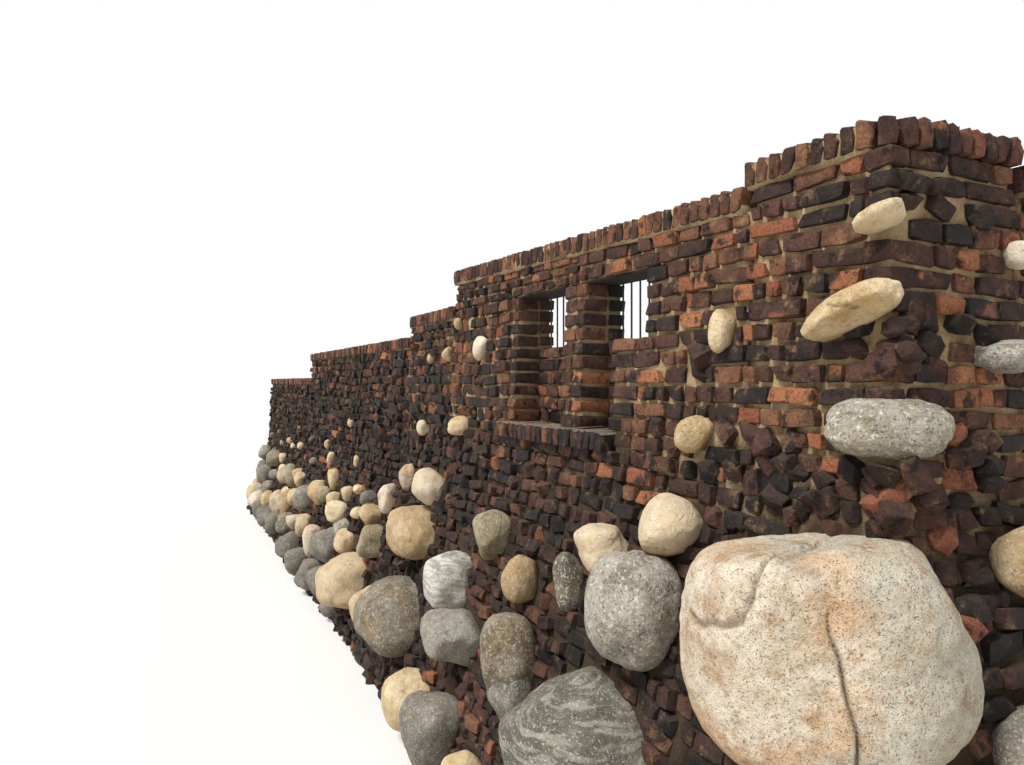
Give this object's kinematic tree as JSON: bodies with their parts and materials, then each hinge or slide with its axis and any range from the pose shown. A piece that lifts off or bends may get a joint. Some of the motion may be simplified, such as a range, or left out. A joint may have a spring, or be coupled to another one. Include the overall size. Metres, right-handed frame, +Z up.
{
  "type": "clinker brick and boulder garden wall",
  "caption": "Free-standing garden wall of clinker brick with boulders in its spreading base, stepped coping, a corner pier and two small barred windows.",
  "frame": {"origin": "on the floor, under the middle of the whole wall's box", "axes": "+X along the front towards the corner pier, +Y from the front towards the garden side, +Z up"},
  "size_m": [14.2368, 3.442, 3.28],
  "materials": {
    "masonry": "rough clinker brick in sandy mortar",
    "rubble": "rough brick rubble and cobbles in mortar",
    "clinker_brick": "overburnt brick, partly glazed",
    "iron": "dull black",
    "pale_granite": "weathered, rough",
    "grey_granite": "weathered, speckled",
    "tan_fieldstone": "weathered, smooth"
  },
  "bodies": {
    "root": {"corner_pier": "masonry", "window_bay_right_wall": "masonry", "window_bay_left_wall": "masonry", "window_bay_lower_wall": "masonry", "window_head_wall": "masonry", "window_pier": "masonry", "right_niche_cheek": "masonry", "right_niche_panel": "masonry", "left_niche_panel": "masonry", "step_bay_wall": "masonry", "long_bay_wall": "masonry", "end_bay_wall": "masonry", "return_wall": "masonry", "corner_pier_base": "rubble", "window_bay_base": "rubble", "step_bay_base": "rubble", "long_bay_base": "rubble", "end_bay_base": "rubble", "return_base": "rubble", "corner_pier_coping": "clinker_brick", "window_bay_coping": "clinker_brick", "step_bay_coping": "clinker_brick", "long_bay_coping": "clinker_brick", "end_bay_coping": "clinker_brick", "return_coping": "clinker_brick", "window_sill": "clinker_brick", "right_window_lintel": "iron", "left_window_lintel": "iron", "great_corner_boulder": "pale_granite", "cream_egg_boulder": "pale_granite", "long_corner_stone": "pale_granite", "broad_cream_boulder": "pale_granite", "grey_corner_boulder": "grey_granite", "round_granite_boulder": "grey_granite", "banded_foot_boulder": "grey_granite", "brown_foot_boulder": "grey_granite", "slab_foot_boulder": "grey_granite", "striped_boulder": "grey_granite", "mottled_foot_boulder": "grey_granite", "return_foot_boulder": "grey_granite", "golden_boulder": "tan_fieldstone", "olive_boulder": "tan_fieldstone", "large_tan_boulder": "tan_fieldstone", "tan_foot_boulder": "tan_fieldstone", "return_tan_boulder": "tan_fieldstone"}
  },
  "joints": []
}
